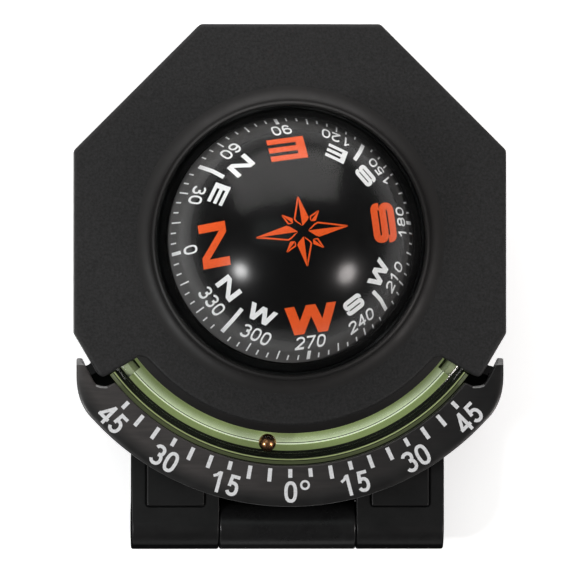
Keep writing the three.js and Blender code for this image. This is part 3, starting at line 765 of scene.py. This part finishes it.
def build_glow_strip():
    """The luminous strip behind the tube: a green floor with a pale rib, and a raised green lip. Its colours paint
    light: the pale steps and the rib are a painted highlight, the black slots are painted dark, and the shade
    slots are painted shade.
    """
    shape = Shape(HOUSING)
    half_angle = 53
    inner_r, outer_r = 30.0, 36.15
    underside, floor, lip = -7.9, -7.35, -3.6
    rib_foot = 32.64
    pale_width = 1.3
    green, shade, black, rib, pale = range(5)
    # The black slots are painted dark: the band that stands in for the tube's refracted edge, the thin line beside
    # the rib, and shade in the lip's groove and on its inner wall.
    outline = [
        ((inner_r, underside), shade),
        ((outer_r, underside), shade),
        ((outer_r, lip - 0.9), shade),
        ((35.62, lip - 0.15), black),
        ((35.55, lip - 0.4), black),
        ((35.48, lip), green),
        ((35.26, lip), black),
        ((35.24, floor), black),
        ((33.98, floor), green),
        ((32.98, floor), rib),
        ((32.94, floor + 0.1), rib),
        ((32.8, floor + 0.1), rib),
        ((32.76, floor), black),
        ((rib_foot, floor), pale),
    ]
    for k in range(1, PALE_STEPS + 1):
        slot = pale + k if k < PALE_STEPS else green
        outline.append(((rib_foot - pale_width * k / PALE_STEPS, floor), slot))
    outline.append(((inner_r, floor), green))
    profile = [point for point, _ in outline]
    slots = [slot for _, slot in outline]
    shape.swept(profile, -half_angle, half_angle, 90, slots)
    materials = [GLOW_GREEN, GLOW_SHADE, PAINTED_DARK_BAND, PAINTED_HIGHLIGHT_RIB] + PAINTED_HIGHLIGHT_GREENS
    return shape.make("glow_strip", "housing", "luminous_green", materials, ["luminous_backing"])


def build_tube():
    """The clear curved tube, open at both ends where the plugs sit."""
    shape = Shape(HOUSING)
    sides = 48
    steps = 140
    walls = []
    for radius in (TUBE_OUTER, TUBE_BORE):
        loops = []
        for k in range(steps + 1):
            part = k / steps if radius == TUBE_OUTER else 1 - k / steps
            angle = -TUBE_HALF_ANGLE + 2 * TUBE_HALF_ANGLE * part
            loop = []
            for i in range(sides):
                a = 2 * math.pi * i / sides
                x, y = down_point(TUBE_R + radius * math.cos(a), angle)
                loop.append((x, y, TUBE_Z + radius * math.sin(a)))
            loops.append(loop)
        walls.append(loops)
    outer, bore = walls
    shape.loft(outer)
    shape.loft([outer[-1], bore[0]])
    shape.loft(bore, 1)
    shape.loft([bore[-1], outer[0]])
    return shape.make("gauge_tube", "housing", "clear_tube", [CLEAR_TUBE, WET_BORE], ["inclinometer_tube"])


def build_ball():
    shape = Shape(HOUSING)
    x, y = down_point(TUBE_R, BALL_ANGLE)
    ball = Shape(HOUSING)
    ball.turned(meridian(BALL_R, -BALL_R, BALL_R, 24), 48)
    shape.add([(p.x + x, p.y + y, p.z + TUBE_Z) for p in ball.points], ball.faces)
    return shape.make("gauge_ball", "slope_ball", "copper_ball", [COPPER], ["inclinometer_ball"])


def build_dome():
    shape = Shape(HOUSING)
    centre = -CAPSULE_DEPTH
    inner = list(reversed(meridian(SPHERE_INNER, centre, centre + SPHERE_INNER, 40, centre)))
    flange_r, low, high = 23.4, -6.4, -4.9
    flange = [(SPHERE_INNER, low), (flange_r, low), (flange_r, high), (SPHERE_OUTER, high)]
    outer = meridian(SPHERE_OUTER, centre, centre + SPHERE_OUTER, 44, centre)
    shape.turned(inner + flange + outer, 160)
    return shape.make("clear_dome", "housing", "clear_dome", [CLEAR_DOME], ["capsule_dome"])


# ---- The card, in its own frame: origin at the capsule's centre, +Z up its pole ----
CREASE_Z = math.sqrt(CARD_R**2 - CARD_CREASE_R**2)


def card_surface(radius):
    """Height and outward normal (radial, vertical) of the card's top at a radius."""
    if radius <= CARD_CREASE_R:
        height = math.sqrt(CARD_R**2 - radius**2)
        return height, (radius / CARD_R, height / CARD_R)
    foot_z = CARD_RIM_Z + 1
    fall = (CREASE_Z - foot_z) / (CARD_R - CARD_CREASE_R)
    length = math.hypot(1, fall)
    return CREASE_Z - fall * (radius - CARD_CREASE_R), (fall / length, 1 / length)


def build_card():
    shape = Shape(CARD)
    skin = 0.6
    inner_r = CARD_R - skin
    inner_crease_r = CARD_CREASE_R - skin
    inner_crease_z = math.sqrt(inner_r**2 - inner_crease_r**2)
    stem_r = 1.8
    under = list(reversed(meridian(inner_r, inner_crease_z, math.sqrt(inner_r**2 - stem_r**2), 20)))
    stem = [(0, 6.3), (1.35, 6.3), (1.35, 4.6), (stem_r, 4.6)]
    rim = [(inner_r, CARD_RIM_Z + 1), (inner_r, CARD_RIM_Z), (CARD_R, CARD_RIM_Z), (CARD_R, CARD_RIM_Z + 1)]
    top = meridian(CARD_R, CREASE_Z, CARD_R, 36)
    profile = stem + under + rim + top
    skirt = len(stem + under + rim) - 1
    slots = [1 if skirt - 1 <= i <= skirt else 0 for i in range(len(profile) - 1)]
    shape.turned(profile, 160, slots=slots)
    return shape.make("card_dial", "card", "card_black", [CARD_BLACK, CARD_GREY], ["compass_card"], sharp=24)


# ---- Printing. A stroke is a pair of edges, each a list of points, in units of the letter's height. ----
def line_points(start, end, spacing=0.08):
    steps = max(1, round(math.dist(start, end) / spacing))
    return [
        (start[0] + (end[0] - start[0]) * i / steps, start[1] + (end[1] - start[1]) * i / steps)
        for i in range(steps + 1)
    ]


def arc_points(centre, rx, ry, start, end, power=2.0, steps=22):
    """Points round an ellipse, or round a squarer oval where power is above 2."""
    points = []
    for k in range(steps + 1):
        a = math.radians(start + (end - start) * k / steps)
        c, s = math.cos(a), math.sin(a)
        x = math.copysign(abs(c) ** (2 / power), c)
        y = math.copysign(abs(s) ** (2 / power), s)
        points.append((centre[0] + rx * x, centre[1] + ry * y))
    return points


def stroke(path, width):
    """Both edges of a pen stroke along a path."""
    left, right = [], []
    closed = math.dist(path[0], path[-1]) < 1e-6
    for i, point in enumerate(path):
        before = path[i - 1] if i else (path[-2] if closed else path[0])
        after = path[i + 1] if i + 1 < len(path) else (path[1] if closed else path[-1])
        d0 = Vector(point) - Vector(before)
        d1 = Vector(after) - Vector(point)
        d0 = d0.normalized() if d0.length > 1e-9 else d1.normalized()
        d1 = d1.normalized() if d1.length > 1e-9 else d0
        n0 = Vector((-d0.y, d0.x))
        n1 = Vector((-d1.y, d1.x))
        middle = (n0 + n1).normalized()
        reach = width / 2 / max(0.5, middle.dot(n1))
        left.append((point[0] + middle.x * reach, point[1] + middle.y * reach))
        right.append((point[0] - middle.x * reach, point[1] - middle.y * reach))
    return left, right


def slant(top, bottom, thickness):
    """A diagonal with level ends, from a top x to a bottom x, both at its left edge."""
    left = line_points((top, 1), (bottom, 0))
    return left, [(x + thickness, y) for x, y in left]


def bar(x0, x1, y0, y1):
    """A level bar, or an upright one where it is taller than it is long."""
    if x1 - x0 >= y1 - y0:
        return line_points((x0, y1), (x1, y1)), line_points((x0, y0), (x1, y0))
    return line_points((x0, y0), (x0, y1)), line_points((x1, y0), (x1, y1))


def digit(char, w, s):
    """The strokes of a digit that is w wide and 1 high, drawn with a pen s wide."""
    h = s / 2
    left, low, top = h, h, 1 - h
    mid = w / 2
    rx = mid - h
    if char == "0":
        return [stroke(arc_points((mid, 0.5), rx, 0.5 - h, 0, 360, 2.5, 40), s)]
    if char == "1":
        flag = stroke([(0.08 * w, 0.72), (0.4 * w, 0.8), (0.6 * w, 0.94)], s * 0.8)
        return [bar(0.55 * w, 0.55 * w + s, 0, 1), flag]
    if char == "2":
        bow = arc_points((mid, top - 0.25), rx, 0.25, 165, -25, 2.2)
        return [stroke(bow + line_points(bow[-1], (left + 0.02, low + 0.02))[1:], s), bar(0, w, 0, s)]
    if char == "3":
        upper = arc_points((mid, top - 0.205), rx * 0.93, 0.205, 160, -90, 2.2)
        lower = arc_points((mid, low + 0.235), rx, 0.235, 90, -160, 2.2)
        return [stroke(upper, s), stroke(lower, s)]
    if char == "4":
        post = 0.62 * w
        return [
            bar(post, post + s, 0, 1),
            bar(0, w, 0.2, 0.2 + s),
            stroke(line_points((post + h, 1 - h * 0.6), (h * 0.9, 0.2 + h)), s * 0.92),
        ]
    if char == "5":
        bowl = arc_points((mid, low + 0.27), rx, 0.27, 128, -155, 2.2)
        neck = stroke(line_points((0.2 * w + h, 1 - h), (0.12 * w + h, 0.44)), s)
        return [bar(0.2 * w, 0.94 * w, 1 - s, 1), neck, stroke(bowl, s)]
    if char in "69":
        ring = arc_points((mid, low + 0.25), rx, 0.25, 0, 360, 2.2, 36)
        back = [(left, low + 0.25)] + arc_points((mid, 0.5), rx, 0.5 - h, 180, 38, 2.3)
        strokes = [stroke(ring, s), stroke(back, s)]
        if char == "6":
            return strokes
        return [tuple([(w - x, 1 - y) for x, y in edge] for edge in pair) for pair in strokes]
    if char == "7":
        return [bar(0, w, 1 - s, 1), stroke(line_points((w - h, 1 - h), (0.32 * w, 0)), s)]
    upper = arc_points((mid, top - 0.2), rx * 0.9, 0.2, 0, 360, 2.1, 32)
    lower = arc_points((mid, low + 0.235), rx, 0.235, 0, 360, 2.1, 36)
    return [stroke(upper, s), stroke(lower, s)]


def letter(char, w, s):
    """The strokes of a wide compass letter."""
    h = s / 2
    t = s * 1.1
    if char == "N":
        return [bar(0, s, 0, 1), bar(w - s, w, 0, 1), slant(0, w - t * 1.15, t * 1.15)]
    if char == "E":
        arm = s * 0.64
        return [bar(0, s * 1.05, 0, 1)] + [bar(0, w, y, y + arm) for y in (0, 0.5 - arm / 2, 1 - arm)]
    if char == "W":
        foot = 0.27 * w
        peak = 0.5 * w
        return [
            slant(0, foot - t / 2, t),
            slant(peak - t / 2, foot - t / 2, t),
            slant(peak - t / 2, w - foot - t / 2, t),
            slant(w - t, w - foot - t / 2, t),
        ]
    bend = 0.25 - h / 2
    reach = w - h
    path = arc_points((reach - bend, 1 - h - bend), bend, bend, -10, 90, 2.4, 8)
    path += line_points(path[-1], (h + bend, 1 - h))[1:-1]
    path += arc_points((h + bend, 0.75 - h / 2), bend, bend, 90, 270, 2.4, 14)
    path += line_points(path[-1], (reach - bend, 0.5))[1:-1]
    path += arc_points((reach - bend, 0.25 + h / 2), bend, bend, 90, -90, 2.4, 14)
    path += line_points(path[-1], (h + bend, h))[1:-1]
    path += arc_points((h + bend, h + bend), bend, bend, 270, 170, 2.4, 8)
    return [stroke(path, s)]


def on_card(x, y, lift):
    radius = math.hypot(x, y)
    height, (out, up) = card_surface(radius)
    scale = 1 + out * lift / max(radius, 1e-6)
    return (x * scale, y * scale, height + up * lift)


def on_plate(x, y, lift):
    return (x, y, SCALE_FRONT + lift)


class Print:
    """Thin solid ink marks laid on a surface."""

    def __init__(self, matrix, surface):
        self.shape = Shape(matrix)
        self.surface = surface
        self.layer = 0

    def mark(self, strokes, place, slot=0):
        """Adds strokes. place turns their own (x, y) into the surface's (x, y)."""
        for left, right in strokes:
            self.layer = (self.layer + 1) % 5
            top = 0.03 + 0.004 * self.layer
            loops = []
            for a, b in zip(left, right):
                pa, pb = Vector(place(*a)), Vector(place(*b))
                middle = (pa + pb) / 2
                plan = [pa, middle, pb]
                loops.append(
                    [self.surface(p.x, p.y, top) for p in plan]
                    + [self.surface(p.x, p.y, 0.004) for p in reversed(plan)]
                )
            closed = (Vector(loops[0][0]) - Vector(loops[-1][0])).length < 1e-4
            if closed:
                loops = loops[:-1]
            start = len(self.shape.points)
            self.shape.loft(loops, slot, closed=closed)
            if closed:
                continue
            for row in (0, len(loops) - 1):
                self.shape.faces.append([start + row * 6 + i for i in range(6)])
                self.shape.slots.append(slot)

    def text(self, glyphs, widths, height, gap, place, slot=0):
        """A row of glyphs, centred on the place's origin."""
        total = sum(widths) + gap * (len(glyphs) - 1)
        x = -total / 2
        for strokes, width in zip(glyphs, widths):
            self.mark(strokes, lambda u, v, x=x: place((x + u) * height, (v - 0.5) * height), slot)
            x += width + gap


def radial(angle, radius, tops_inwards=True):
    """Placing for a mark centred at a radius. Its own Y points to the centre, its X anticlockwise."""
    a = math.radians(angle)
    out = Vector((math.cos(a), math.sin(a)))
    side = Vector((-out.y, out.x))

    def place(x, y):
        return tuple(out * (radius - y) + side * x)

    return place


def bearing(degrees):
    return NORTH_ANGLE - degrees


def build_card_print():
    """The card's letters, degree numbers, ticks and centre star."""
    marks = Print(CARD, on_card)
    white, orange = 0, 1
    cardinals = [
        ("N", 0, 3.95, 1.8, 0.35), ("E", 90, 3.75, 1.58, 0.36),
        ("S", 180, 4.2, 1.53, 0.285), ("W", 270, 4.3, 1.95, 0.33),
    ]
    for char, degrees, height, width, pen in cardinals:
        marks.text([letter(char, width, pen)], [width], height, 0, radial(bearing(degrees), 13.75), orange)
    pairs = [
        ("E", 34.0), ("N", 57.5), ("E", 123.0), ("S", 146.6),
        ("W", 213.8), ("S", 239.8), ("W", 302.8), ("N", 330.0),
    ]
    pair_height = 2.35
    pair_shapes = {"N": (1.58, 0.33), "E": (1.42, 0.34), "S": (1.46, 0.27), "W": (1.95, 0.3)}
    for char, degrees in pairs:
        width, pen = pair_shapes[char]
        place = radial(bearing(degrees), 14.3)
        marks.text([letter(char, width, pen)], [width], pair_height, 0, place, white)
    for degrees in range(45, 360, 90):
        marks.mark(tick_mark(0.17), scaled(radial(bearing(degrees), 17.0), 3.9), white)
    digit_width, digit_pen = 0.8, 0.158
    for degrees in range(0, 360, 30):
        chars = str(degrees)
        glyphs = [digit(c, digit_width * (0.75 if c == "1" else 1), digit_pen) for c in chars]
        marks.text(glyphs, [digit_width] * len(chars), 1.78, 0.16, radial(bearing(degrees), 17.15), white)
    tick_end = 19.5
    for degrees in range(0, 360, 5):
        if degrees % 90 == 45:
            continue
        length, width = 0.62, 0.24
        if degrees % 15 == 0:
            length = 1.1
        if degrees % 90 == 0:
            width = 0.55
        place = scaled(radial(bearing(degrees), tick_end - length / 2), length)
        marks.mark(tick_mark(width / length), place, white)
    long_arm, side_arm, small_arm = 7.4, 5.6, 4.2
    for degrees in range(0, 360, 90):
        reach = long_arm if degrees % 180 == 0 else side_arm
        add_star_arm(marks, bearing(degrees), 0.9, reach, 1.25, orange)
        add_star_arm(marks, bearing(degrees + 45), 2.1, small_arm, 0.62, orange)
    return marks.shape.make("card_print", "card", "card_black", [INK_WHITE, INK_ORANGE])


def scaled(place, size):
    return lambda x, y: place(x * size, y * size)


def tick_mark(width):
    """An upright stroke, 1 long and centred."""
    return [stroke(line_points((0, -0.5), (0, 0.5)), width)]


def add_star_arm(marks, angle, start, reach, half_width, slot):
    """A long kite: its left half is filled, its right half only outlined."""
    along = radial(angle, 0)
    widest = start + (reach - start) * 0.22
    pen = 0.26
    steps = 12

    def half(side, inner_gap):
        outer, inner = [], []
        for k in range(steps + 1):
            r = start + (reach - start) * k / steps
            share = (r - start) / (widest - start) if r < widest else (reach - r) / (reach - widest)
            wide = 0.1 + (half_width - 0.1) * share
            outer.append((side * wide, -r))
            inner.append((side * max(0.06, wide - pen) if inner_gap else 0.0, -r))
        return inner, outer

    marks.mark([half(-1, False), half(1, True)], along, slot)


def build_scale_print():
    """The slope scale: a tick every 5 degrees and a number every 15."""
    marks = Print(HOUSING, on_plate)
    for degrees in range(-45, 50, 5):
        short = degrees % 15 == 0 or degrees == 5
        start, end = 36.85, (38.25 if short else 39.0)
        place = scaled(radial(degrees - 90, (start + end) / 2), end - start)
        marks.mark(tick_mark(0.65 / (end - start)), place)
    height = 3.45
    for degrees in range(-45, 50, 15):
        chars = str(abs(degrees))
        widths = [0.62 if c == "1" else 0.6 for c in chars]
        glyphs = [digit(c, 0.5 if c == "1" else 0.6, 0.16) for c in chars]
        marks.text(glyphs, widths, height, 0.1, radial(degrees - 90 + (0.1 if degrees == 0 else 0), 40.55))
    ring = stroke(arc_points((0, 0), 0.39, 0.39, 0, 360, 2, 28), 0.22)
    marks.mark([ring], scaled(radial(-90 + 3.45, 39.5), 1.6))
    return marks.shape.make("scale_print", "housing", "scale_black", [INK_GREY])


# ---- Base pieces ----
def build_base_plate():
    shape = Shape(BASE)
    w, k = PLATE_HALF_WIDTH, CENTRE_KNUCKLE_HALF
    wide, near, far = k + 0.6, KNUCKLE_R + 0.05, PLATE_FRONT_Y + 1
    plate = round_corners(rectangle(-w, w, PLATE_FRONT_Y, PLATE_REAR_Y), 4.5, 8)
    shape.slab(plate, PAD_THICKNESS, PLATE_TOP, radius=0.4, foot=0.2)
    shape.slab(rectangle(-k, k, 0, far), PAD_THICKNESS, PLATE_TOP, 0.05, 0.05)
    shape.slab(rectangle(-wide, wide, near, far), PAD_THICKNESS + 0.05, PLATE_TOP - 0.05, 0.05, 0.05)
    shape.rod_x(KNUCKLE_R, -k, k, 0, HINGE.z / MM, rounding=0.35, slot=1, bore=2.55)
    looks = [MOULDED_BLACK, KNUCKLE_BLACK]
    return shape.make("base_leaf", "base", "moulded_black", looks, ["base_plate"])


def finish_cad_nodes():
    """Gives each node that still shows as CAD its own finish."""
    looks = {
        "steel": STEEL, "brass": BRASS, "rubber": RUBBER, "foam_pad": FOAM, "natural_nylon": NYLON,
        "jewel": JEWEL, "magnet": MAGNET, "moulded_black": MOULDED_BLACK, "card_black": CARD_BLACK,
        "textured_black": BEZEL_BLACK, "scale_black": SCALE_BLACK, "clear_dome": CLEAR_DOME,
        "clear_tube": CLEAR_TUBE, "luminous_green": GLOW_GREEN, "copper_ball": COPPER,
    }
    slots = {part["node"]: part["material_slot"] for part in frame["record"]["subparts"]}
    for name, node in frame["nodes"].items():
        node.data.materials.clear()
        node.data.materials.append(looks[slots[name]])


# ---- Stage, lights and camera ----
def add_floor():
    look = Look("white_sweep")
    look.feed("Base Color", look.blend(look.noise(2, 1), (0.8, 0.8, 0.8), (0.83, 0.83, 0.83)))
    look.fix("Roughness", 0.9)
    look.fix("Specular IOR Level", 0.1)
    look.fix("Emission Color", (1, 1, 1, 1))
    look.fix("Emission Strength", 0.6)
    mesh = bpy.data.meshes.new("floor")
    size = 3.0
    mesh.from_pydata(raised(rectangle(-size, size, -size, size), 0), [], [(0, 1, 2, 3)])
    mesh.materials.append(look.material)
    floor = new_object("floor", mesh)


def add_light(name, direction, distance, size, power, colour=(1, 1, 1)):
    """An area light that faces the compass, placed by a direction in the housing's frame."""
    data = bpy.data.lights.new(name, "AREA")
    data.shape = "RECTANGLE"
    data.size, data.size_y = size
    data.energy = power
    data.color = colour
    light = new_object(name, data)
    turn = HOUSING.to_3x3().normalized()
    towards = (turn @ Vector(direction)).normalized()
    light.location = CAPSULE_CENTRE + towards * distance
    light.rotation_euler = (-towards).to_track_quat("-Z", "Y").to_euler()
    return light


def add_lights():
    add_light("top_softbox", (-0.1, 0.855, 0.51), 0.2, (0.35, 0.19), 0.5, (1, 0.975, 0.965))
    left = add_light("left_lamp", (-0.675, -0.41, 0.615), 0.3, (0.055, 0.055), 0.38)
    right = add_light("right_lamp", (0.715, -0.43, 0.55), 0.36, (0.09, 0.09), 0.45, (1, 0.95, 0.93))
    add_light("dim_window", (-0.28, 0.103, 0.954), 0.5, (0.17, 0.29), 0.11, (0.9, 1, 0.98))
    left.data.shape = "DISK"
    right.data.shape = "DISK"
    world = bpy.data.worlds.new("studio")
    world.use_nodes = True
    world.node_tree.nodes["Background"].inputs["Color"].default_value = (0.08, 0.08, 0.08, 1)
    bpy.context.scene.world = world


def add_camera():
    """Looks straight at the bezel's face from slightly to the left."""
    distance = 2.0
    view_width = 0.0927
    yaw = math.radians(2.2)
    aim = HOUSING @ Vector((-0.4, -7.7, 0))
    turn = HOUSING.to_3x3().normalized()
    towards = turn @ Vector((-math.sin(yaw), 0, math.cos(yaw)))
    data = bpy.data.cameras.new("camera")
    data.sensor_width = 36
    data.lens = 36 * distance / view_width
    data.dof.use_dof = False
    camera = new_object("camera", data)
    camera.location = aim + towards * distance
    up = turn @ Vector((0, 1, 0))
    side = up.cross(towards).normalized()
    rise = towards.cross(side)
    camera.rotation_euler = Matrix((side, rise, towards)).transposed().to_euler()
    bpy.context.scene.camera = camera


add_camera()
finish_cad_nodes()
build_bezel()
build_rear_shell()
build_scale_plate()
build_scale_print()
build_glow_strip()
build_tube()
build_ball()
build_dome()
build_card()
build_card_print()
build_base_plate()
add_floor()
add_lights()
bpy.context.scene.view_settings.view_transform = "Standard"
